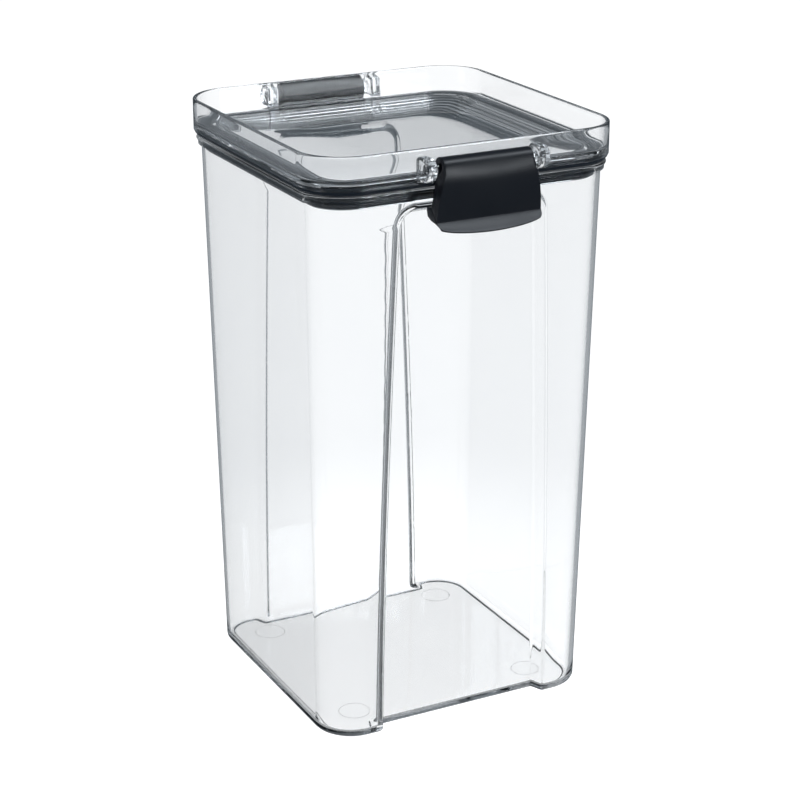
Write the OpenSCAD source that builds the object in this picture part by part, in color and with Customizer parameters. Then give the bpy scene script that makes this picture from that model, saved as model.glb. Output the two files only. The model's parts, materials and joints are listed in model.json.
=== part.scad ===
// Square airtight food bin: a clear tapered container, a clear tray lid with a plug,
// a seal stretched round the plug, and two latches that pivot on the lid's lugs.
// Millimetres, +Z up, origin at the centre of the base.

/* [Container] */
// Height of the container to the top of its rim
rim_z = 281; // [200:1:360]
// Outside width of the container just under its rim
body_top_w = 157.6; // [130:0.2:190]
// How far each side leans in from the rim to the base
body_lean = 4.6; // [1:0.1:7]
// Outside radius of the container's upright corners
body_corner_r = 20.3; // [14:0.1:26]
// Thickness of the container's wall
wall = 2.2; // [1.6:0.1:3]
// Thickness of the container's floor
floor_t = 2.6; // [2:0.1:4]
// Radius round the outside of the base
base_r = 3; // [2:0.5:4]
// Width of the ring that the container stands on
foot_w = 3; // [2:0.5:5]
// Rise of the floor's underside inside that ring
foot_rise = 1; // [0.5:0.1:1.2]
// Depth of the collar round the outside of the rim
collar_h = 4.6; // [3.5:0.1:7]
// How far the collar stands out of the wall
collar_out = 1.7; // [1.2:0.1:2.4]
// How far the bead on top of the collar stands out of the collar
bead_out = 0.8; // [0.4:0.1:1.2]

/* [Grip recess] */
// Flat wall left at the base between each end of the recess and the corner
recess_land = 7.4; // [7.2:0.1:14]
// Width of each side of the recess
recess_side = 3.7; // [3:0.1:9]
// How far each side of the recess leans in from the base to the rim
recess_lean = 8; // [0:0.1:11]
// How the lean gathers towards the rim: 1 makes each side straight
recess_bow = 1.6; // [1:0.1:2]
// Depth of the recess
recess_d = 6.5; // [3:0.5:8]
// Distance from the rim down to the top of the recess
recess_drop = 9.5; // [8:0.5:30]
// Height of the sloping top of the recess
recess_slope = 6; // [4:0.5:12]

/* [Lid] */
// How far the lid stands out beyond the container's wall
lid_overhang = 3.7; // [3:0.1:6]
// Height of the lid's upright wall
lid_wall_h = 16.5; // [14:0.5:24]
// Thickness of the lid's upright wall
lid_wall = 2.2; // [1.6:0.1:3]
// Depth of the tray from the wall's top edge
tray_d = 13; // [10:0.5:20]
// Thickness of the tray's floor
tray_t = 2; // [1.6:0.1:3]
// Thickness of the plug's skirt
plug_wall = 2; // [1.6:0.1:2.6]
// Depth of the plug below the rim
plug_drop = 8; // [6:0.5:12]
// Height of the bead that keeps the seal on the plug
plug_bead_h = 1; // [0.8:0.1:1.5]
// How far that bead stands out of the plug
plug_bead_out = 1; // [0.6:0.1:1.6]

/* [Seal] */
// Thickness of the seal's flange between lid and rim
seal_flange_t = 3.9; // [3:0.1:6]
// How far the seal's outer lip lies inside the lid's outside face
seal_lip_in = 0.5; // [0.3:0.1:1]
// Thickness of the seal's band round the plug
seal_band_t = 2.4; // [1.6:0.1:3]
// Height of each sealing fin
fin_h = 1.2; // [0.8:0.1:1.6]
// Number of sealing fins
fin_count = 2; // [1:1:3]

/* [Latch] */
// Radius of the latch's barrel
barrel_r = 5.2; // [4.4:0.1:6]
// Half width of the latch at its barrel
latch_top_half = 23.4; // [18:0.2:26]
// Half width of the latch at its lip
latch_base_half = 27.6; // [24:0.2:30]
// Height from the hinge axis down to the lip's crease
latch_h = 24.2; // [21:0.2:28]
// Thickness of the latch's plate
latch_t = 2.6; // [2:0.1:3.2]
// Thickness of the cheek down each side of the plate
cheek_t = 2.2; // [1.6:0.1:3]
// Depth of the cheeks, back from the plate's face
cheek_d = 6.6; // [5:0.2:8]
// How far the lip stands out of the plate
lip_out = 5.4; // [4:0.2:8]
// How far the lip drops below the crease at its middle
lip_drop = 5.2; // [4:0.2:7]
// Half width of the catch under the collar
catch_half = 19; // [12:0.5:20]
// Thickness of the catch at its root
catch_t = 6; // [4:0.5:7]
// Gap between the catch's tip and the container's wall
catch_tip_gap = 0.5; // [0.3:0.1:0.8]

/* [Hinge] */
// Height of the hinge axis below the lid's top edge
axis_drop = 8.5; // [7.5:0.1:10]
// Radius of the hinge pins
pin_r = 2.6; // [2:0.1:3]
// Length of pin inside the latch
pin_in = 5; // [3:0.5:8]
// Thickness of each lug
lug_t = 6; // [4:0.5:7]
// Gap between a lug and the latch
lug_gap = 3.4; // [1:0.2:4]
// Radius of the lug round the hinge axis
lug_r = 5.6; // [4.8:0.1:6]

/* [Fits] */
// Gap between the seal and the container's rim
seat_gap = 0.1; // [0.05:0.05:0.3]
// Gap between a sealing fin and the container's wall
fin_gap = 0.3; // [0.2:0.05:0.5]
// Radial clearance of the hinge pins
pin_clear = 0.05; // [0.02:0.01:0.1]
// Gap between the catch and the collar
catch_gap = 0.3; // [0.2:0.05:0.5]
// Gap between the barrel and the lid's wall
barrel_gap = 0.6; // [0.4:0.1:1]

/* [Hidden] */
$fn = 64;

// Upright stack, from the rim up
seal_bottom_z = rim_z + seat_gap;
tray_under_z = seal_bottom_z + seal_flange_t;
tray_z = tray_under_z + tray_t;
lid_top_z = tray_z + tray_d;
lid_wall_z = lid_top_z - lid_wall_h;
collar_z = rim_z - collar_h;
plug_z = rim_z - plug_drop;
seal_band_z = plug_z + plug_bead_h;

// Widths, all as half widths from the centre planes
body_top = body_top_w / 2;
body_base = body_top - body_lean;
lid_half = body_top + lid_overhang;
lid_centre = body_top - body_corner_r;
recess_half = body_base - body_corner_r - recess_land - recess_side;
mouth_half = body_half(seal_band_z) - wall;
fin_half = mouth_half - fin_gap;
band_half = fin_half - 0.8;
plug_half = band_half - seal_band_t;
skirt_half = lid_half - lid_wall;
mouth_centre = body_half(seal_band_z) - body_corner_r;

// Hinge and latch
axis_z = lid_top_z - axis_drop;
axis_y = lid_half + barrel_gap + barrel_r;
latch_base_drop = latch_h + lip_drop;
catch_z = collar_z - catch_gap - axis_z;
catch_reach = axis_y - body_half(collar_z) - catch_tip_gap;

// Mesh steps of the container
corner_steps = 6;
side_steps = 5;
slope_steps = 5;
fillet_steps = 3;
wall_steps = 4;

// ---- container ---------------------------------------------------------------------------

// Half width of the container's outside at height z
function body_half(z) = body_base + (body_top - body_base) * z / rim_z;

// Half width of the recess's flat bottom at height z
function recess_half_at(z) = recess_half - recess_lean * pow(max(0, z) / rim_z, recess_bow);

function smooth(t) = let (c = max(0, min(1, t))) c * c * (3 - 2 * c);

// Depth of the grip recess at x and z, on a face that lies inset from the outside
function recess_at(x, z, inset) =
    recess_d
    * smooth((recess_half_at(z) + recess_side + inset - abs(x)) / recess_side)
    * smooth((rim_z - recess_drop + inset - z) / recess_slope);

// Points along the front wall from -X to +X, with the recess in it
function front_points(half, inset, z) = [
    for (side = [-1, 1])
        for (i = [0 : side_steps])
            let (
                t = side < 0 ? i / side_steps : 1 - i / side_steps,
                x = side * (recess_half_at(z) + inset + recess_side * (1 - t))
            )
            [x, -half + recess_at(x, z, inset), z]
];

// Points round one upright corner, starting at angle a0
function corner_points(half, r, a0, z) = [
    for (i = [0 : corner_steps])
        let (a = a0 + 90 * i / corner_steps)
        [
            (half - r) * sign(cos(a0 + 45)) + r * cos(a),
            (half - r) * sign(sin(a0 + 45)) + r * sin(a),
            z
        ]
];

// One closed ring of the container's skin, inset from its outside face
function ring(inset, z) =
    let (
        half = body_half(z) - inset,
        r = body_corner_r - inset,
        front = front_points(half, inset, z)
    )
    concat(
        front,
        corner_points(half, r, 270, z),
        corner_points(half, r, 0, z),
        [for (p = front) [-p[0], -p[1], z]],
        corner_points(half, r, 90, z),
        corner_points(half, r, 180, z)
    );

// Heights of the wall's rings between the base and the top of the recess
slope_z = rim_z - recess_drop - recess_slope;
wall_z = [for (i = [1 : wall_steps - 1]) base_r + (slope_z - base_r) * i / wall_steps];

// Rings up the outside: standing ring, base fillet, wall with the recess, collar and bead
outside = [
    [base_r + foot_w + foot_rise, foot_rise],
    [base_r + foot_w, 0],
    for (i = [0 : fillet_steps])
        let (a = 90 * i / fillet_steps) [base_r * (1 - sin(a)), base_r * (1 - cos(a))],
    for (z = wall_z)
        [0, z],
    for (i = [0 : slope_steps])
        [0, slope_z + recess_slope * i / slope_steps],
    [0, collar_z],
    [-collar_out, collar_z],
    [-collar_out, rim_z - collar_h / 2],
    [-collar_out - bead_out, rim_z - collar_h / 3],
    [-collar_out - bead_out, rim_z - collar_h / 6],
    [-collar_out, rim_z]
];

// Rings down the inside, to the floor
inside = [
    [wall, rim_z],
    for (i = [0 : slope_steps])
        [wall, rim_z - recess_drop + wall - recess_slope * i / slope_steps],
    for (i = [wall_steps - 2 : -1 : 0])
        [wall, wall_z[i]],
    for (i = [fillet_steps : -1 : 0])
        let (a = 90 * i / fillet_steps)
        [wall + base_r * (1 - sin(a)), floor_t + base_r * (1 - cos(a))]
];

module container() {
    rings = [for (s = concat(outside, inside)) ring(s[0], s[1])];
    n = len(rings[0]);
    last = len(rings) - 1;
    points = concat(
        [for (r = rings) for (p = r) p],
        [[0, 0, foot_rise], [0, 0, floor_t]]
    );
    under = n * len(rings);
    floor_centre = under + 1;
    faces = concat(
        [for (k = [0 : last - 1]) for (i = [0 : n - 1])
            let (j = (i + 1) % n) for (f = [0, 1])
                f == 0
                    ? [k * n + i, (k + 1) * n + i, (k + 1) * n + j]
                    : [k * n + i, (k + 1) * n + j, k * n + j]],
        [for (i = [0 : n - 1]) [under, i, (i + 1) % n]],
        [for (i = [0 : n - 1])
            [floor_centre, last * n + (i + 1) % n, last * n + i]]
    );
    color([0.86, 0.90, 0.93, 0.35]) polyhedron(points, faces, convexity = 6);
}

// ---- lid and seal ------------------------------------------------------------------------

// Square outline with round corners, whose corner centres lie at +-centre
module outline(half, centre) {
    r = half - centre;
    square([2 * half, 2 * centre], center = true);
    square([2 * centre, 2 * half], center = true);
    for (x = [-centre, centre]) for (y = [-centre, centre])
        translate([x, y]) circle(r);
}

module slab(z0, z1, half, centre) {
    translate([0, 0, z0]) linear_extrude(z1 - z0) outline(half, centre);
}

module frame_ring(z0, z1, outer, inner, centre) {
    translate([0, 0, z0]) linear_extrude(z1 - z0) difference() {
        outline(outer, centre);
        outline(inner, centre);
    }
}

// Lug with its pin, for the end of a latch at +X; the lug runs back into the lid's wall
module lug() {
    x0 = latch_top_half + lug_gap;
    root = axis_y - lid_half + lid_wall / 2;
    translate([x0, -axis_y, axis_z]) rotate([90, 0, 90]) linear_extrude(lug_t) {
        circle(lug_r);
        polygon([
            [0, lug_r], [root, lug_r - 1.5], [root, -lug_r - 1.8],
            [-lug_r * sin(30), -lug_r * cos(30)]
        ]);
    }
    translate([x0 - lug_gap - pin_in, -axis_y, axis_z]) rotate([0, 90, 0])
        cylinder(r = pin_r, h = pin_in + lug_gap + 1);
}

module lid() {
    color([0.88, 0.92, 0.95, 0.35]) {
        frame_ring(lid_wall_z, lid_top_z, lid_half, skirt_half, lid_centre);
        slab(tray_under_z, tray_z, skirt_half + lid_wall / 2, lid_centre);
        frame_ring(seal_band_z, tray_under_z + tray_t / 2, plug_half, plug_half - plug_wall,
                   mouth_centre);
        frame_ring(plug_z, seal_band_z, plug_half + plug_bead_out, plug_half - plug_wall,
                   mouth_centre);
        for (turn = [0, 180]) rotate([0, 0, turn])
            for (side = [0, 1]) mirror([side, 0, 0]) lug();
    }
}

module seal() {
    lip_half = lid_half - seal_lip_in;
    collar_half = body_half(rim_z) + collar_out;
    band_h = seal_bottom_z - seal_band_z;
    pitch = band_h / (fin_count + 1);
    color([0.09, 0.10, 0.12]) {
        frame_ring(seal_bottom_z, tray_under_z, skirt_half, plug_half, mouth_centre);
        frame_ring(seal_bottom_z + 1, lid_wall_z, lip_half, plug_half + 1, mouth_centre);
        frame_ring(seal_band_z, seal_bottom_z + 1, band_half, plug_half, mouth_centre);
        for (i = [1 : fin_count])
            frame_ring(seal_band_z + pitch * i - fin_h / 2, seal_band_z + pitch * i + fin_h / 2,
                       fin_half, plug_half + 1, mouth_centre);
    }
}

// ---- latches -----------------------------------------------------------------------------

// Side view of the latch's plate and lip: x runs inward from the hinge axis
module plate_side() {
    face = -barrel_r;
    circle(barrel_r);
    polygon([
        [face, 0], [face, -latch_h], [face - lip_out, -latch_base_drop],
        [face - lip_out + 2.2, -latch_base_drop - 1],
        [face + latch_t, -latch_h - 1.4], [face + latch_t, -barrel_r * 0.4], [0, 0]
    ]);
}

// Side view of the cheeks, which run deeper behind the lip
module cheek_side() {
    face = -barrel_r;
    circle(barrel_r);
    polygon([
        [face, 0], [face, -latch_h], [face - lip_out + 1, -latch_base_drop + 1],
        [face + 1, -latch_h - 2], [face + 7, -latch_h + 2.4], [face + 9, -latch_h + 6],
        [face + 8.6, -latch_h + 7.2], [face + cheek_d, -latch_h + 7.2],
        [face + cheek_d, -barrel_r], [barrel_r * 0.8, -barrel_r * 0.6], [0, 0]
    ]);
}

// Front view of the latch about its hinge axis: flared sides and a bowed lower edge
module latch_front() {
    bow_r = (latch_base_half * latch_base_half + 16) / 8;
    intersection() {
        polygon([
            [-latch_top_half, barrel_r + 1], [latch_top_half, barrel_r + 1],
            [latch_top_half, -2], [latch_top_half + 2, -barrel_r - 3],
            [latch_base_half, -latch_h],
            [latch_base_half - 0.4, -latch_base_drop - 3],
            [-latch_base_half + 0.4, -latch_base_drop - 3],
            [-latch_base_half, -latch_h],
            [-latch_top_half - 2, -barrel_r - 3], [-latch_top_half, -2]
        ]);
        translate([0, bow_r - latch_base_drop - 1]) circle(bow_r, $fn = 200);
    }
}

// The wedge that hooks under the container's collar, from the plate to its tip
module catch() {
    root = latch_t - barrel_r - 0.5;
    rotate([90, 0, 90]) translate([0, 0, -catch_half])
        linear_extrude(2 * catch_half) polygon([
            [catch_reach, catch_z], [root, catch_z], [root, catch_z - catch_t],
            [catch_reach - 1, catch_z - 2], [catch_reach, catch_z - 1.2]
        ]);
}

module latch() {
    reach = pin_in + pin_clear + 1;
    deep = latch_base_half + latch_h;
    translate([0, -axis_y, axis_z]) difference() {
        union() {
            intersection() {
                rotate([90, 0, 90]) translate([0, 0, -deep]) linear_extrude(2 * deep)
                    plate_side();
                rotate([90, 0, 0]) translate([0, 0, -deep]) linear_extrude(2 * deep)
                    latch_front();
            }
            intersection() {
                rotate([90, 0, 90]) translate([0, 0, -deep]) linear_extrude(2 * deep)
                    cheek_side();
                rotate([90, 0, 0]) translate([0, 0, -deep]) linear_extrude(2 * deep)
                    difference() {
                        latch_front();
                        translate([0, cheek_t]) scale(1 - cheek_t / latch_base_half)
                            latch_front();
                    }
            }
            catch();
        }
        for (side = [-1, 1])
            translate([side * (latch_top_half + 1), 0, 0]) rotate([0, -side * 90, 0])
                cylinder(r = pin_r + pin_clear, h = reach + 0.5);
    }
}

module front_latch() {
    color([0.10, 0.11, 0.13]) latch();
}

module back_latch() {
    color([0.10, 0.11, 0.13]) rotate([0, 0, 180]) latch();
}

container();
lid();
seal();
front_latch();
back_latch();
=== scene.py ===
import json
import math

import bmesh
import bpy
from mathutils import Matrix, Vector


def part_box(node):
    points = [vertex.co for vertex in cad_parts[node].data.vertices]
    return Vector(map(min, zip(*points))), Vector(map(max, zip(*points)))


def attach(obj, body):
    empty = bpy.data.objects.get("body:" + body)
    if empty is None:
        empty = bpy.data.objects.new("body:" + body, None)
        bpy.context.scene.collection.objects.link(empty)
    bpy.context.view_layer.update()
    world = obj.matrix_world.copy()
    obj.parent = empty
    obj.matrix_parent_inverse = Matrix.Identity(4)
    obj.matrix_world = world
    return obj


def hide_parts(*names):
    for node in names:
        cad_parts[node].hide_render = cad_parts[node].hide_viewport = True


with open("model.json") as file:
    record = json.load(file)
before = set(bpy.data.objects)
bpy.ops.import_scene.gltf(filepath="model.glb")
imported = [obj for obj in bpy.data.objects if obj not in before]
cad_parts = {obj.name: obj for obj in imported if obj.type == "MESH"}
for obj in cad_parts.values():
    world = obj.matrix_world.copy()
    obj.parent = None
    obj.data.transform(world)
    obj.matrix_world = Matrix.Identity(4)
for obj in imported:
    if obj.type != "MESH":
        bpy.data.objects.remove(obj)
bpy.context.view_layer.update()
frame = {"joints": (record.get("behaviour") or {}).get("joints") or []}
scene = bpy.context.scene

# --- Camera ---------------------------------------------------------------------------------
# A long lens a little over a metre away, turned towards the front left corner and looking
# down at the lid.
camera_data = bpy.data.cameras.new("camera")
camera_data.lens = 97.5
camera_data.sensor_width = 36.0
camera_data.shift_x = 0.0042
camera_data.shift_y = -0.0369
camera = bpy.data.objects.new("camera", camera_data)
scene.collection.objects.link(camera)
camera_aim = Vector((0.0, 0.0, 0.162))
camera_reach = 1.1155
camera_turn = math.radians(-27.375)
camera_tilt = math.radians(19.573)
camera_back = Vector((
    math.sin(camera_turn) * math.cos(camera_tilt),
    -math.cos(camera_turn) * math.cos(camera_tilt),
    math.sin(camera_tilt),
))
camera.location = camera_aim + camera_back * camera_reach
camera.rotation_euler = camera_back.to_track_quat("Z", "Y").to_euler()
scene.camera = camera

# --- Studio ---------------------------------------------------------------------------------
# A plain white table in a white room, lit by four soft boxes. Darker cards stand round it and show
# only where the bin mirrors them, so the edges of the clear walls read as thin grey lines. The
# table glows brighter close to the bin, painted light that fills in the bin's shadow, and looks
# dark grey where the bin mirrors it.


class Val:
    """A shader socket that can be written into sums: each operator adds one Math node."""

    def __init__(self, tree, socket):
        self.tree = tree
        self.socket = socket

    def _math(self, operation, *values):
        return node(self.tree, "ShaderNodeMath", {"operation": operation}, *values)

    def __add__(self, other):
        return self._math("ADD", self, other)

    def __sub__(self, other):
        return self._math("SUBTRACT", self, other)

    def __rsub__(self, other):
        return self._math("SUBTRACT", other, self)

    def __mul__(self, other):
        return self._math("MULTIPLY", self, other)

    def clamp(self):
        return self._math("MINIMUM", self._math("MAXIMUM", self, 0.0), 1.0)

    def above(self, other):
        return self._math("GREATER_THAN", self, other)

    def angle_over(self, other):
        """The angle whose sine goes with this value and whose cosine goes with the other."""
        return self._math("ARCTAN2", self, other)


def fill(tree, socket, value):
    """Links a value to a socket, or sets it there if it is a plain number, vector or colour."""
    if isinstance(value, Val):
        tree.links.new(value.socket, socket)
    else:
        socket.default_value = value


def node(tree, kind, settings, *values, out=0, **named):
    """Adds a node, sets it up, then fills its sockets with values or links."""
    made = tree.nodes.new(kind)
    for key, value in settings.items():
        if key == "stops":
            ramp = made.color_ramp
            while len(ramp.elements) < len(value):
                ramp.elements.new(0.5)
            for element, (place, colour) in zip(ramp.elements, value):
                element.position = place
                element.color = colour
        else:
            setattr(made, key, value)
    sockets = list(zip(made.inputs, values))
    sockets += [(made.inputs[name.replace("_", " ")], value) for name, value in named.items()]
    for socket, value in sockets:
        fill(tree, socket, value)
    return Val(tree, made.outputs[out])


def split(vector):
    """The X and Y of a vector."""
    made = vector.tree.nodes.new("ShaderNodeSeparateXYZ")
    fill(vector.tree, made.inputs[0], vector)
    return Val(vector.tree, made.outputs[0]), Val(vector.tree, made.outputs[1])


def blend(factor, first, second):
    """A colour that goes from first to second as factor goes from 0 to 1."""
    made = factor.tree.nodes.new("ShaderNodeMix")
    made.data_type = "RGBA"
    for place, value in ((0, factor), (6, first), (7, second)):
        fill(factor.tree, made.inputs[place], value)
    return Val(factor.tree, made.outputs[2])


def cool(level):
    """The bluish grey of the dark cards."""
    return (level * 0.74, level * 0.94, level * 1.12, 1.0)


def in_reflections(tree, lift):
    """1 for what is seen mirrored, 0 for what is seen directly or lights a surface. It is less
    by the given lift for what is mirrored inside clear plastic."""
    mirrored = node(tree, "ShaderNodeLightPath", {}, out="Glossy Depth").clamp()
    inside = node(tree, "ShaderNodeLightPath", {}, out="Transmission Depth").clamp()
    lighting = node(tree, "ShaderNodeLightPath", {}, out="Diffuse Depth").clamp()
    return mirrored * (1.0 - inside * lift) * (1.0 - lighting)


room_lift = 0.10
table_lift = 0.32
world = bpy.data.worlds.new("studio")
scene.world = world
world.use_nodes = True
room = world.node_tree
room.nodes.clear()
room_x, room_y = split(node(room, "ShaderNodeTexCoord", {}, out="Generated"))
room_side = room_x * math.cos(camera_turn) + room_y * math.sin(camera_turn)
cards = node(room, "ShaderNodeValToRGB", {"stops": [
    (0.0, cool(0.05)), (0.22, cool(0.10)), (0.34, cool(0.17)),
    (0.62, cool(0.10)), (0.80, cool(0.07)), (1.0, cool(0.05)),
]}, room_side * 0.5 + 0.5)
white = (1.0, 1.0, 1.0, 1.0)
background = room.nodes.new("ShaderNodeBackground")
background.inputs["Strength"].default_value = 1.0
fill(room, background.inputs["Color"], blend(in_reflections(room, room_lift), white, cards))
world_out = room.nodes.new("ShaderNodeOutputWorld")
room.links.new(background.outputs[0], world_out.inputs["Surface"])

scene.view_settings.view_transform = "Standard"
scene.view_settings.look = "None"
scene.cycles.max_bounces = 32
scene.cycles.transmission_bounces = 32
scene.cycles.transparent_max_bounces = 24
scene.cycles.diffuse_bounces = 4
scene.cycles.glossy_bounces = 28
scene.cycles.sample_clamp_indirect = 6.0


def soft_box(name, place, aim, width, height, power, tint=(1.0, 1.0, 1.0)):
    """A flat lamp at a place, turned to face the aim."""
    data = bpy.data.lights.new(name, "AREA")
    data.shape = "RECTANGLE"
    data.size = width
    data.size_y = height
    data.energy = power
    data.color = tint
    lamp = bpy.data.objects.new(name, data)
    scene.collection.objects.link(lamp)
    lamp.location = place
    lamp.rotation_euler = (Vector(place) - Vector(aim)).to_track_quat("Z", "Y").to_euler()


soft_box("top_box", (0.55, -0.42, 1.30), (0, 0, 0.27), 0.50, 0.42, 4.6, (0.86, 0.93, 1.0))
soft_box("front_box", (0.58, -1.32, 0.66), (0, -0.09, 0.28), 0.34, 0.26, 4.2, (0.90, 0.95, 1.0))
soft_box("left_box", (-1.3, -0.2, 0.9), (0, 0, 0.2), 0.5, 0.9, 1.6)
soft_box("back_box", (-0.95, 1.25, 1.05), (0, 0, 0.2), 0.7, 0.5, 2.6, (0.90, 0.95, 1.0))

table_gap = 0.0002
bpy.ops.mesh.primitive_circle_add(vertices=96, radius=4.0, fill_type="NGON")
floor = bpy.context.object
floor.name = "floor"
floor_mat = bpy.data.materials.new("white_table")
floor_mat.use_nodes = True
table = floor_mat.node_tree
floor_shader = table.nodes["Principled BSDF"]
floor_shader.inputs["Base Color"].default_value = (0.28, 0.285, 0.29, 1.0)
floor_shader.inputs["Roughness"].default_value = 0.9
floor_shader.inputs["Specular IOR Level"].default_value = 0.1
floor_shader.inputs["Emission Strength"].default_value = 1.0
table_place = node(table, "ShaderNodeTexCoord", {}, out="Object")
from_bin = node(table, "ShaderNodeVectorMath", {"operation": "LENGTH"}, table_place, out="Value")
# Painted light: the table's glow is brighter close to the bin, filling in the shadow the bin casts.
shadow_fill_glow = node(
    table, "ShaderNodeMapRange", {"interpolation_type": "SMOOTHSTEP"}, Value=from_bin,
    From_Min=0.08, From_Max=0.34, To_Min=0.99, To_Max=0.755,
)
fill(table, floor_shader.inputs["Emission Color"], shadow_fill_glow)
table_in_mirror = table.nodes.new("ShaderNodeBsdfDiffuse")
table_in_mirror.inputs["Color"].default_value = cool(0.11)
table_mix = table.nodes.new("ShaderNodeMixShader")
fill(table, table_mix.inputs[0], in_reflections(table, table_lift))
table.links.new(floor_shader.outputs[0], table_mix.inputs[1])
table.links.new(table_in_mirror.outputs[0], table_mix.inputs[2])
table.links.new(table_mix.outputs[0], table.nodes["Material Output"].inputs["Surface"])
floor.data.materials.append(floor_mat)
floor.location.z = -table_gap

# --- Container ------------------------------------------------------------------------------
# One clear rigid moulding that tapers to its base, with a grip recess in the front and back
# walls and a beaded collar round the rim. Injection moulded in a clear copolyester.
body_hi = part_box("container")[1]
rim_z = body_hi[2]
bead_half = body_hi[0]
collar_out = 0.0017
bead_out = 0.0008
body_top = bead_half + 0.00001 - collar_out - bead_out
body_lean = 0.0046
body_corner = 0.0203
wall = 0.0022
floor_t = 0.0026
floor_rise = 0.001
inner_round = 0.0024
base_round = 0.003
collar_h = 0.0046
recess_land = 0.0074
recess_d = 0.0065
recess_side = 0.0037
recess_lean = 0.0080
recess_bow = 1.6
recess_round = 0.0100
recess_half = body_top - body_lean - body_corner - recess_land - recess_side
recess_top = rim_z - 0.0095
corner_steps = 20
recess_steps = 26


def half_at(z):
    """Half the container's width at height z."""
    return body_top - body_lean * (1.0 - z / rim_z)


def recess_half_at(z):
    """Half the width of the recess's floor at height z: it leans in towards the rim."""
    return recess_half - recess_lean * (max(0.0, z) / rim_z) ** recess_bow


def smooth(t):
    """An even S-shaped rise from 0 to 1."""
    c = max(0.0, min(1.0, t))
    return c * c * (3.0 - 2.0 * c)


def recess_at(x, z, inset):
    """Depth of the grip recess, whose outline has two round top corners."""
    radius = recess_round + inset
    over_x = abs(x) - (recess_half_at(z) + recess_side - recess_round)
    over_z = z - (recess_top - recess_round)
    reach = max(over_x, over_z)
    if over_x > 0.0 and over_z > 0.0:
        reach = math.hypot(over_x, over_z)
    return recess_d * smooth((radius - reach) / recess_side)


def corner_arc(half, radius, start, steps):
    """Points round one upright corner of a square, from the angle start."""
    middle = math.radians(start + 45.0)
    cx = math.copysign(half - radius, math.cos(middle))
    cy = math.copysign(half - radius, math.sin(middle))
    turns = [math.radians(start + 90.0 * i / steps) for i in range(steps + 1)]
    return [(cx + radius * math.cos(a), cy + radius * math.sin(a)) for a in turns]


def container_ring(inset, z):
    """A level ring of the container's skin, this far in from the outside of its wall."""
    half = half_at(z) - inset
    radius = body_corner - inset
    outer = recess_half_at(z) + recess_side + inset
    across = [outer - (recess_round + inset) * i / recess_steps for i in range(recess_steps + 1)]
    across += [across[-1] * k / 3.0 for k in (2, 1)]
    front = [(-x, -half + recess_at(x, z, inset)) for x in across]
    front.append((0.0, -half + recess_at(0.0, z, inset)))
    front += [(-x, y) for x, y in reversed(front[:-1])]
    ring = list(front)
    ring += corner_arc(half, radius, 270.0, corner_steps)
    ring += corner_arc(half, radius, 0.0, corner_steps)
    ring += [(-x, -y) for x, y in front]
    ring += corner_arc(half, radius, 90.0, corner_steps)
    ring += corner_arc(half, radius, 180.0, corner_steps)
    return [(x, y, z) for x, y in ring]


def loft(name, rings, closed=False):
    """A skin through rings of equal length, with a flat cap on each end unless it is closed."""
    mesh = bmesh.new()
    rows = [[mesh.verts.new(p) for p in ring] for ring in rings]
    count = len(rings[0])
    pairs = list(zip(rows, rows[1:] + rows[:1])) if closed else list(zip(rows, rows[1:]))
    for low, high in pairs:
        for i in range(count):
            j = (i + 1) % count
            mesh.faces.new((low[i], low[j], high[j], high[i]))
    if not closed:
        mesh.faces.new(list(reversed(rows[0])))
        mesh.faces.new(rows[-1])
    bmesh.ops.recalc_face_normals(mesh, faces=mesh.faces)
    data = bpy.data.meshes.new(name)
    mesh.to_mesh(data)
    mesh.free()
    for face in data.polygons:
        face.use_smooth = len(face.vertices) == 4
    data.set_sharp_from_angle(angle=math.radians(40.0))
    made = bpy.data.objects.new(name, data)
    scene.collection.objects.link(made)
    return made


def arc_pairs(cx, cz, radius, first, last, steps):
    """Points along an arc of a cross-section, as (across, height) pairs."""
    turns = [math.radians(first + (last - first) * i / steps) for i in range(steps + 1)]
    return [(cx + radius * math.cos(a), cz + radius * math.sin(a)) for a in turns]


# Each point is the inset from the wall's outside and the height: up the outside from the floor's
# underside, over the collar and the bead, and down the inside to the floor.
section = [(base_round + 0.0026, floor_rise), (base_round + 0.0022, floor_rise)]
section += [(base_round + 0.0019, floor_rise * 0.8), (base_round + 0.0016, floor_rise * 0.2)]
section += [(base_round + 0.0012, 0.0)]
section += arc_pairs(base_round, base_round, base_round, 270.0, 180.0, 10)
section += [(0.0, z / 1000.0) for z in range(8, 254, 12)]
section += [
    (0.0, recess_top - recess_round * (1.0 - i / recess_steps)) for i in range(recess_steps + 1)
]
collar_z = rim_z - collar_h
section += arc_pairs(-0.0006, collar_z - 0.0006, 0.0006, 0.0, 90.0, 4)
section += arc_pairs(-collar_out + 0.0004, collar_z + 0.0004, 0.0004, 270.0, 180.0, 4)
section += [(-collar_out, rim_z - 0.0023)]
section += arc_pairs(-collar_out, rim_z - 0.00125, bead_out, 270.0, 90.0, 8)
section += arc_pairs(-collar_out + 0.0003, rim_z - 0.0003, 0.0003, 180.0, 90.0, 3)
section += arc_pairs(wall - 0.0005, rim_z - 0.0005, 0.0005, 90.0, 0.0, 4)
inner_reach = recess_round + wall
section += [
    (wall, recess_top + wall - inner_reach * i / recess_steps) for i in range(recess_steps + 1)
]
section += [(wall, z / 1000.0) for z in range(250, 4, -12)]
section += arc_pairs(wall + inner_round, floor_t + inner_round, inner_round, 180.0, 270.0, 10)[1:]
section += [(wall + inner_round + 0.0006, floor_t)]
container = loft("container_wall", [container_ring(inset, z) for inset, z in section])
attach(container, "container")
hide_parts("container")


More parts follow.
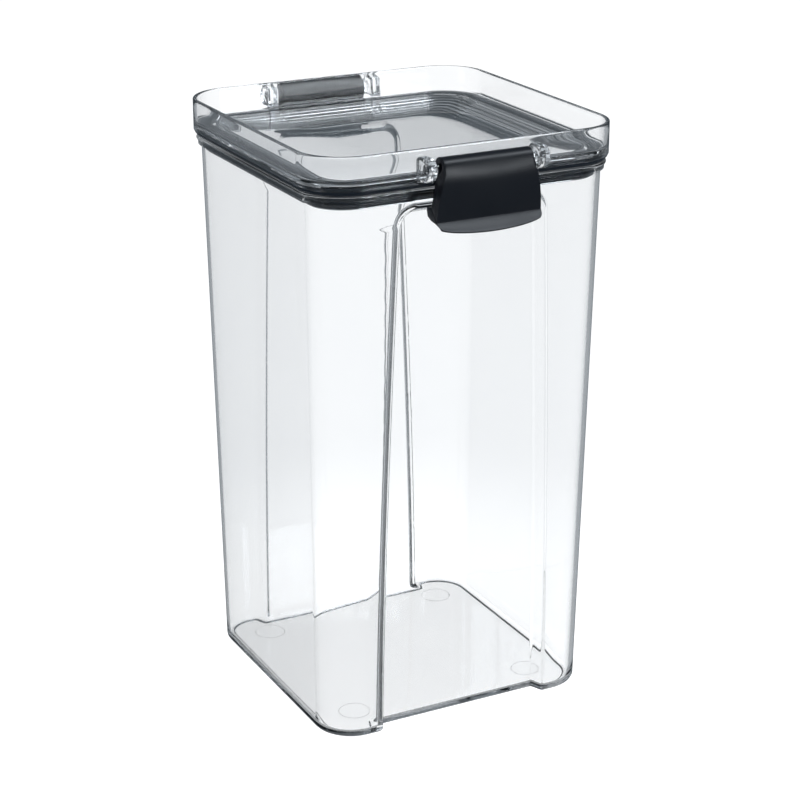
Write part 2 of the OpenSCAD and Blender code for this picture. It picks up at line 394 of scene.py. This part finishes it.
class Finish:
    """A material with one Principled shader; its methods add nodes to the tree."""

    def __init__(self, name, colour, **constants):
        self.material = bpy.data.materials.new(name)
        self.material.use_nodes = True
        self.tree = self.material.node_tree
        self.main = self.tree.nodes["Principled BSDF"]
        self.main.inputs["Base Color"].default_value = (*colour, 1.0)
        for key, value in constants.items():
            self.main.inputs[key.replace("_", " ")].default_value = value

    def add(self, kind, settings, *values, out=0, **named):
        return node(self.tree, kind, settings, *values, out=out, **named)

    def place(self, stretch=(1.0, 1.0, 1.0)):
        """Object coordinates in metres, stretched along each axis."""
        spot = self.add("ShaderNodeTexCoord", {}, out="Object")
        return self.add("ShaderNodeMapping", {}, Vector=spot, Scale=stretch)

    def noise(self, place, scale, detail=2.0):
        return self.add("ShaderNodeTexNoise", {}, Vector=place, Scale=scale, Detail=detail)

    def step(self, value, low, high):
        """0 below low, 1 above high, smooth between."""
        kind = {"interpolation_type": "SMOOTHSTEP"}
        return self.add("ShaderNodeMapRange", kind, Value=value, From_Min=low, From_Max=high)

    def feed(self, name, value):
        fill(self.tree, self.main.inputs[name], value)

    def bump(self, height, distance, strength=1.0):
        self.feed("Normal", self.add(
            "ShaderNodeBump", {}, Strength=strength, Distance=distance, Height=height,
        ))


def clear_plastic(name, colour):
    """Clear moulded plastic: slow flow waves, fine handling scratches and faint haze, with painted
    grey-blue shade where the walls are seen edge-on.
    """
    finish = Finish(name, colour, Transmission_Weight=1.0, IOR=1.5, Roughness=0.02)
    # Painted shade: the colour turns grey-blue where a wall is seen edge-on, standing in for the
    # dark edge lines that light makes there.
    painted_edge_shade = finish.step(finish.add("ShaderNodeLayerWeight", {}, 0.5, out="Facing"), 0.80, 0.97)
    waves = finish.noise(finish.place((1.0, 1.0, 0.35)), 38.0, 1.0)
    rub = finish.noise(finish.place((1.0, 1.0, 0.06)), 900.0, 3.0)
    haze = finish.noise(finish.place(), 26.0, 3.0)
    scratches = finish.step(rub, 0.62, 0.74)
    finish.feed("Roughness", haze * 0.012 + scratches * 0.04)
    # Base colour: the painted edge shade plus a faint random haze tone.
    finish.feed("Base Color", blend(
        (painted_edge_shade * 0.5 + haze * 0.05).clamp(), (*colour, 1.0), (0.50, 0.56, 0.62, 1.0),
    ))
    finish.bump(waves + scratches * 0.03, 0.00002)
    return finish.material


body_clear = clear_plastic("clear_body", (0.990, 0.994, 0.997))
container.data.materials.append(body_clear)

# --- Floor marks ----------------------------------------------------------------------------
# Thin raised rings that the mould's ejectors leave near each corner of the floor, and a short
# rib concentric with each corner, all part of the same clear moulding.


class GeometryTree:
    """A Geometry Nodes tree with named inputs, ending in a plain mesh of one material."""

    def __init__(self, name, **inputs):
        self.tree = bpy.data.node_groups.new(name, "GeometryNodeTree")
        face = self.tree.interface
        face.new_socket("Geometry", in_out="OUTPUT", socket_type="NodeSocketGeometry")
        self.keys = {}
        self.values = inputs
        for key, value in inputs.items():
            kind = "NodeSocketFloat"
            if isinstance(value, bpy.types.Object):
                kind = "NodeSocketObject"
            if isinstance(value, bpy.types.Material):
                kind = "NodeSocketMaterial"
            title = key.replace("_", " ")
            self.keys[key] = face.new_socket(title, in_out="INPUT", socket_type=kind).identifier
        self.source = self.tree.nodes.new("NodeGroupInput")

    def input(self, key):
        return Val(self.tree, self.source.outputs[key.replace("_", " ")])

    def add(self, kind, settings, out=0, **named):
        return node(self.tree, kind, settings, out=out, **named)

    def along_z(self, z):
        return self.add("ShaderNodeCombineXYZ", {}, Z=z)

    def corners(self, width, depth):
        """The four corners of a level rectangle about the origin."""
        return self.add(
            "GeometryNodeMeshGrid", {}, Size_X=width, Size_Y=depth, Vertices_X=2, Vertices_Y=2,
        )

    def join(self, *parts):
        made = self.tree.nodes.new("GeometryNodeJoinGeometry")
        for part in parts:
            fill(self.tree, made.inputs[0], part)
        return Val(self.tree, made.outputs[0])

    def finish(self, geometry, material):
        """Makes the instances real, sets the material and returns the result as an object."""
        real = self.add("GeometryNodeRealizeInstances", {}, Geometry=geometry)
        done = self.add("GeometryNodeSetMaterial", {}, Geometry=real, Material=material)
        end = self.tree.nodes.new("NodeGroupOutput")
        fill(self.tree, end.inputs[0], done)
        base = bpy.data.objects.new(self.tree.name, bpy.data.meshes.new(self.tree.name))
        scene.collection.objects.link(base)
        modifier = base.modifiers.new("nodes", "NODES")
        modifier.node_group = self.tree
        for key, value in self.values.items():
            modifier[self.keys[key]] = value
        graph = bpy.context.evaluated_depsgraph_get()
        data = bpy.data.meshes.new_from_object(base.evaluated_get(graph))
        base.modifiers.remove(modifier)
        base.data = data
        return base


marks = GeometryTree(
    "floor_marks", Corner=0.0505, Ring_Radius=0.0079, Rib_Corner=body_top - body_lean - body_corner,
    Rib_Radius=0.0165, Thickness=0.00016, Height=floor_t, Plastic=body_clear,
)
bead = marks.add(
    "GeometryNodeCurvePrimitiveCircle", {}, Resolution=6, Radius=marks.input("Thickness"),
)
ring_path = marks.add(
    "GeometryNodeCurvePrimitiveCircle", {}, Resolution=48, Radius=marks.input("Ring_Radius"),
)
ring_mark = marks.add("GeometryNodeCurveToMesh", {}, Curve=ring_path, Profile_Curve=bead)
rib_sweep = math.radians(76.0)
rib_path = marks.add(
    "GeometryNodeCurveArc", {}, Resolution=24, Radius=marks.input("Rib_Radius"),
    Start_Angle=-rib_sweep / 2.0, Sweep_Angle=rib_sweep,
)
rib_mark = marks.add(
    "GeometryNodeCurveToMesh", {}, Curve=rib_path, Profile_Curve=bead, Fill_Caps=True,
)
corner_marks = []
for shape, middle in ((ring_mark, "Corner"), (rib_mark, "Rib_Corner")):
    width = marks.input(middle) * 2.0
    spot_x, spot_y = split(marks.add("GeometryNodeInputPosition", {}))
    corner_marks.append(marks.add(
        "GeometryNodeInstanceOnPoints", {}, Points=marks.corners(width, width), Instance=shape,
        Rotation=marks.along_z(spot_y.angle_over(spot_x)),
    ))
level = marks.add(
    "GeometryNodeTransform", {}, Geometry=marks.join(*corner_marks),
    Translation=marks.along_z(marks.input("Height")),
)
floor_marks = marks.finish(level, marks.input("Plastic"))
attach(floor_marks, "container")

# --- Lid ------------------------------------------------------------------------------------
# One clear moulding: a tall rounded wall round a sunk flat tray, with a hollow plug below it
# that carries the seal, and two pairs of ears outside the wall for the latches to turn on.
lid_lo, lid_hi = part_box("lid")
lid_half = lid_hi[0]
lid_centre = body_top - body_corner
lid_top = lid_hi[2]
lid_wall = 0.0022
lid_wall_z = lid_top - 0.0165
tray_z = lid_top - 0.013
tray_under = tray_z - 0.002
seal_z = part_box("seal")[0][2]
fin_air = 0.0003
fin_out = 0.0008
band_t = 0.0024
plug_z = lid_lo[2]
plug_half = half_at(seal_z) - wall - fin_air - fin_out - band_t
plug_wall = 0.002
plug_bead = 0.001


def square_ring(half, z, centre):
    """A level square ring with round corners, whose corner centres lie at +-centre."""
    radius = half - centre
    ring = []
    for start in (270.0, 0.0, 90.0, 180.0):
        ring += corner_arc(half, radius, start, corner_steps)
    return [(x, y, z) for x, y in ring]


skirt_half = lid_half - lid_wall
edge = 0.0007
tray_middle = 0.030
lid_section = [(tray_middle, tray_z), (skirt_half - 0.012, tray_z), (skirt_half - 0.0022, tray_z)]
lid_section += arc_pairs(skirt_half - 0.002, tray_z + 0.002, 0.002, 270.0, 360.0, 8)
lid_section += [(skirt_half + 0.0001, tray_z + 0.006), (skirt_half + 0.0002, lid_top - 0.002)]
lid_section += arc_pairs(lid_half - 0.0011, lid_top - 0.0009, 0.0009, 180.0, 90.0, 5)
lid_section += arc_pairs(lid_half - 0.0009, lid_top - 0.0009, 0.0009, 90.0, 0.0, 5)
lid_section += [(lid_half, lid_top - 0.004), (lid_half, lid_wall_z + 0.004)]
lid_section += arc_pairs(lid_half - edge, lid_wall_z + edge, edge, 0.0, -90.0, 4)
lid_section += arc_pairs(skirt_half + edge, lid_wall_z + edge, edge, 270.0, 180.0, 4)
lid_section += [(skirt_half - 0.00001, tray_under), (plug_half + 0.004, tray_under)]
lid_section += arc_pairs(plug_half + 0.0008, tray_under - 0.0008, 0.0008, 90.0, 180.0, 3)
lid_section += [(plug_half, seal_z)]
lid_section += arc_pairs(plug_half + plug_bead - 0.0004, plug_z + 0.0006, 0.0004, 90.0, -90.0, 6)
lid_section += arc_pairs(plug_half - plug_wall + 0.0007, plug_z + 0.0007, 0.0007, 270.0, 180.0, 4)
lid_section += [(plug_half - plug_wall, tray_under - 0.003)]
lid_section += arc_pairs(plug_half - plug_wall - 0.0015, tray_under - 0.0015, 0.0015, 0.0, 90.0, 5)
lid_section += [(tray_middle, tray_under)]
lid_rings = [square_ring(half, z, min(lid_centre, half * 0.79)) for half, z in lid_section]
lid = loft("lid_shell", lid_rings)
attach(lid, "lid")
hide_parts("lid")
lid_clear = clear_plastic("clear_lid", (0.980, 0.986, 0.992))
lid.data.materials.append(lid_clear)

# --- Seal -----------------------------------------------------------------------------------
# A black moulded elastomer ring stretched over the plug: a flange trapped between the lid
# and the rim, and a band with fins that wipes the inside of the container's mouth.
plug_centre = half_at(seal_z) - body_corner
band_half = plug_half + band_t
fin_half = band_half + fin_out
lip_half = lid_half - 0.0005
flange_z = rim_z + 0.0001
seal_section = [(plug_half + 0.00005, tray_under - 0.0001)]
seal_section += arc_pairs(skirt_half - 0.0006, tray_under - 0.0006, 0.0005, 90.0, 0.0, 3)
seal_section += [(skirt_half - 0.0001, lid_wall_z - 0.0001)]
seal_section += arc_pairs(lip_half - 0.0004, lid_wall_z - 0.0005, 0.0004, 90.0, -30.0, 5)
seal_section += arc_pairs(lip_half - 0.0018, flange_z + 0.0005, 0.0005, -20.0, -90.0, 4)
seal_section += [(band_half + 0.001, flange_z)]
fin_count = 2
band_h = flange_z - seal_z
for fin in range(fin_count, 0, -1):
    fin_z = seal_z + band_h * fin / (fin_count + 1)
    seal_section += [(band_half, fin_z + 0.0012)]
    seal_section += arc_pairs(fin_half - 0.0004, fin_z, 0.0004, 70.0, -70.0, 6)
    seal_section += [(band_half, fin_z - 0.0010)]
seal_section += arc_pairs(band_half - 0.0006, seal_z + 0.0006, 0.0006, 0.0, -90.0, 4)
seal_section += [(plug_half + 0.00005, seal_z)]
seal_rings = [square_ring(half, z, plug_centre) for half, z in seal_section]
seal = loft("seal_ring", seal_rings, closed=True)
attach(seal, "lid")
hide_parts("seal")
rubber = Finish("black_seal", (0.006, 0.007, 0.010), IOR=1.5, Specular_IOR_Level=0.26)
bloom = rubber.noise(rubber.place(), 60.0, 4.0)
grain = rubber.noise(rubber.place(), 2600.0, 2.0)
rubber.feed("Base Color", blend(
    bloom, (0.0022, 0.0036, 0.0062, 1.0), (0.009, 0.013, 0.020, 1.0),
))
rubber.feed("Roughness", bloom * 0.14 + 0.16)
rubber.bump(grain, 0.00003)
seal.data.materials.append(rubber.material)

# --- Ears -----------------------------------------------------------------------------------
# Four clear ears stand out of the lid's wall, part of the same moulding, and each carries a
# stub pin that snaps into the end of a latch's barrel.
hinge = {joint["name"]: joint["pos_m"] for joint in frame["joints"] if "pos_m" in joint}
axis_y = abs(hinge["front_latch_hinge"][1])
axis_z = hinge["front_latch_hinge"][2]
latch_half = 0.0234
ear_gap = 0.0034
ear_t = 0.006
ear_r = 0.0056
pin_r = 0.0026
pin_in = 0.005
pin_root = 0.001


def outline_solid(name, outline, thickness, bevel):
    """A flat outline in Y and Z, given thickness along X about its middle, with worn edges."""
    mesh = bmesh.new()
    ends = []
    for x in (-thickness / 2.0, thickness / 2.0):
        ends.append([mesh.verts.new((x, y, z)) for y, z in outline])
    count = len(outline)
    for i in range(count):
        j = (i + 1) % count
        mesh.faces.new((ends[0][i], ends[0][j], ends[1][j], ends[1][i]))
    mesh.faces.new(list(reversed(ends[0])))
    mesh.faces.new(ends[1])
    bmesh.ops.recalc_face_normals(mesh, faces=mesh.faces)
    data = bpy.data.meshes.new(name)
    mesh.to_mesh(data)
    mesh.free()
    made = bpy.data.objects.new(name, data)
    scene.collection.objects.link(made)
    rounding = made.modifiers.new("edges", "BEVEL")
    rounding.width = bevel
    rounding.segments = 1
    rounding.limit_method = "ANGLE"
    rounding.angle_limit = math.radians(30.0)
    return made


ear_root = axis_y - lid_half + 0.0006
ear_outline = [(ear_root, 0.0050)]
ear_outline += [
    (-ear_r * math.sin(math.radians(a)), ear_r * math.cos(math.radians(a)))
    for a in range(-10, 171, 36)
]
ear_outline += [(0.0035, -0.0062), (ear_root, -0.0074)]
ear = outline_solid("ear", ear_outline, ear_t, 0.0010)
ears = GeometryTree(
    "ears", Ear=ear, Ear_Middle=latch_half + ear_gap + ear_t / 2.0,
    Pin_Middle=latch_half + (ear_gap - pin_in + pin_root) / 2.0,
    Pin_Length=ear_gap + pin_in + pin_root,
    Pin_Radius=pin_r, Axis_Y=axis_y, Axis_Z=axis_z, Plastic=lid_clear,
)
one_ear = ears.add(
    "GeometryNodeObjectInfo", {"transform_space": "ORIGINAL"}, out="Geometry",
    Object=ears.input("Ear"),
)
pin = ears.add(
    "GeometryNodeMeshCylinder", {}, Vertices=40, Radius=ears.input("Pin_Radius"),
    Depth=ears.input("Pin_Length"),
)
pin = ears.add("GeometryNodeTransform", {}, Geometry=pin, Rotation=(0.0, math.pi / 2.0, 0.0))
pin = ears.add("GeometryNodeSetShadeSmooth", {}, Geometry=pin, Shade_Smooth=False)
placed = []
for shape, middle in ((one_ear, "Ear_Middle"), (pin, "Pin_Middle")):
    grid = ears.corners(ears.input(middle) * 2.0, ears.input("Axis_Y") * 2.0)
    spot_y = split(ears.add("GeometryNodeInputPosition", {}))[1]
    placed.append(ears.add(
        "GeometryNodeInstanceOnPoints", {}, Points=grid, Instance=shape,
        Rotation=ears.along_z(spot_y.above(0.0) * math.pi),
    ))
raised = ears.add(
    "GeometryNodeTransform", {}, Geometry=ears.join(*placed),
    Translation=ears.along_z(ears.input("Axis_Z")),
)
lid_ears = ears.finish(raised, ears.input("Plastic"))
bpy.data.objects.remove(ear)
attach(lid_ears, "lid")

# --- Latches --------------------------------------------------------------------------------
# Two one-piece latches in black moulded plastic with a fine satin grain. Each has a barrel
# that turns on the ears' pins, a slightly hollow plate, deep cheeks and a flared finger lip.
barrel_r = 0.0052
latch_h = 0.0242
lip_drop = 0.0052
lip_out = 0.0054
plate_t = 0.0026
cheek_t = 0.0022
latch_wide = 0.0276
cheek_depths = (
    (-0.0250, 0.0012), (-0.0244, 0.0060), (-0.0230, 0.0092), (-0.0206, 0.0102),
    (-0.0188, 0.0103), (-0.0184, 0.0060), (-0.0110, 0.0058), (-0.0060, 0.0064),
)
cheek_foot = 0.0022
shoulder = 22.0
shoulder_part = 0.34
plate_crown = 0.0006
plate_steps = 22
lip_steps = 5
bore_air = 0.00005
bore_length = 0.0124
latch_edge = 0.00045
catch_air = 0.0003
catch_wide = 0.038


def latch_half_at(w):
    """Half width of the latch at height w from its hinge axis."""
    if w > -0.0015:
        return latch_half
    t = min(1.0, (-w - 0.0015) / (latch_h - 0.0015))
    return latch_half + (latch_wide - latch_half) * math.sin(t * math.pi / 2.0) ** 0.85


def latch_section(s, cheek):
    """The latch's section at s, from -1 at its left end to 1 at its right end."""
    bow = 1.0 - 0.36 * s * s - 0.10 * s ** 8
    points = [(u, w, 1.0) for u, w in arc_pairs(0.0, 0.0, barrel_r, 0.0, 180.0 - shoulder, 12)]
    last_u, last_w, _ = points[-1]
    drop = latch_h + last_w
    for i in range(1, plate_steps + 1):
        t = i / plate_steps
        turned = 1.0 - (1.0 - min(1.0, t / shoulder_part)) ** 2
        ease = math.tan(math.radians(shoulder)) * drop * shoulder_part * turned / 2.0
        settle = (-barrel_r - last_u + ease) * smooth((t - 0.25) / 0.75)
        crown = plate_crown * (1.0 - s * s) * math.sin(math.pi * t)
        points.append((last_u - ease + settle - crown, last_w - drop * t, 1.0))
    for i in range(1, lip_steps + 1):
        t = i / lip_steps
        out = lip_out * bow * (t - 0.06 * math.sin(math.pi * t))
        points.append((-barrel_r - out, -latch_h - lip_drop * bow * t, 1.0 - 0.055 * t ** 3))
    edge_u = -barrel_r - lip_out * bow
    edge_w = -latch_h - lip_drop * bow
    points.append((edge_u + 0.0005, edge_w - 0.0007, 0.944))
    points.append((edge_u + 0.0013, edge_w - 0.0008, 0.946))
    points.append((-barrel_r + 0.0004, -latch_h - 0.0030 * bow, 0.97))
    for w, depth in cheek_depths:
        points.append((-barrel_r + (depth if cheek else plate_t), w, 1.0))
    foot = cheek_foot if cheek else plate_t - barrel_r
    points.append((foot, -0.0048, 1.0))
    for turn in (-40.0, -28.0, -15.0):
        a = math.radians(turn)
        points.append((barrel_r * math.cos(a), barrel_r * math.sin(a), 1.0))
    return [(s * latch_half_at(w) * pinch, u - axis_y, w + axis_z) for u, w, pinch in points]


def bore_bar(x):
    """A bar on the hinge axis, about x, to bore one end of a barrel."""
    mesh = bmesh.new()
    turn = Matrix.Translation((x, -axis_y, axis_z)) @ Matrix.Rotation(math.pi / 2.0, 4, "Y")
    radius = pin_r + bore_air
    bmesh.ops.create_cone(
        mesh, cap_ends=True, segments=48, radius1=radius, radius2=radius, depth=bore_length,
        matrix=turn,
    )
    data = bpy.data.meshes.new("bar")
    mesh.to_mesh(data)
    mesh.free()
    made = bpy.data.objects.new("bar", data)
    scene.collection.objects.link(made)
    return made


cheek_s = 1.0 - cheek_t / latch_wide
stations = [(-1.0, True), (-0.96, True), (-cheek_s, True), (-cheek_s + 0.004, False)]
stations += [(s / 10.0, False) for s in range(-9, 10)]
stations += [(cheek_s - 0.004, False), (cheek_s, True), (0.96, True), (1.0, True)]
latch_rings = [latch_section(s, cheek) for s, cheek in stations]


def latch_shell(name):
    """The latch about the front hinge: a closed skin, with bored ends and rounded edges."""
    made = loft(name, latch_rings)
    bars = [bore_bar(side * (latch_half + 0.001)) for side in (-1.0, 1.0)]
    for bar in bars:
        bore = made.modifiers.new("bore", "BOOLEAN")
        bore.operation = "DIFFERENCE"
        bore.solver = "EXACT"
        bore.object = bar
    rounding = made.modifiers.new("edges", "BEVEL")
    rounding.width = latch_edge
    rounding.segments = 3
    rounding.limit_method = "ANGLE"
    rounding.angle_limit = math.radians(32.0)
    graph = bpy.context.evaluated_depsgraph_get()
    data = bpy.data.meshes.new_from_object(made.evaluated_get(graph))
    made.modifiers.clear()
    mesh = bmesh.new()
    mesh.from_mesh(data)
    bmesh.ops.dissolve_degenerate(mesh, dist=0.000002, edges=mesh.edges)
    mesh.to_mesh(data)
    mesh.free()
    made.data = data
    for bar in bars:
        bpy.data.objects.remove(bar)
    return made


def catch_bar(name):
    """The wedge inside the latch that hooks under the container's collar."""
    top = collar_z - catch_air
    tip = half_at(collar_z) + 0.0005
    root = axis_y + barrel_r - plate_t + 0.0004
    outline = [
        (-tip, top), (-root, top), (-root, top - 0.006), (-tip - 0.001, top - 0.002),
        (-tip, top - 0.0012),
    ]
    return outline_solid(name, outline, catch_wide, 0.0003)


satin = Finish("black_latch", (0.008, 0.010, 0.014), IOR=1.46, Specular_IOR_Level=0.42)
grain = satin.noise(satin.place(), 2400.0, 2.0)
cloud = satin.noise(satin.place((1.0, 1.0, 0.4)), 45.0, 3.0)
edges = satin.step(satin.add("ShaderNodeNewGeometry", {}, out="Pointiness"), 0.53, 0.62)
handled = satin.step(satin.noise(satin.place((0.3, 1.0, 1.0)), 160.0, 4.0), 0.52, 0.7)
wear = edges * handled
satin.feed("Base Color", blend(
    wear * 0.5 + cloud * 0.15, (0.0026, 0.0038, 0.0070, 1.0), (0.022, 0.025, 0.031, 1.0),
))
satin.feed("Roughness", cloud * 0.16 + 0.27 - wear * 0.08)
satin.bump(grain, 0.00004, 0.8)
for body, turn in (("front_latch", 0.0), ("back_latch", math.pi)):
    shell = latch_shell(body + "_shell")
    hook = catch_bar(body + "_catch")
    for piece in (shell, hook):
        piece.data.transform(Matrix.Rotation(turn, 4, "Z"))
        piece.data.materials.append(satin.material)
        for face in piece.data.polygons:
            face.use_smooth = piece is shell
        piece.data.set_sharp_from_angle(angle=math.radians(35.0))
        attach(piece, body)
    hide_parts(body)
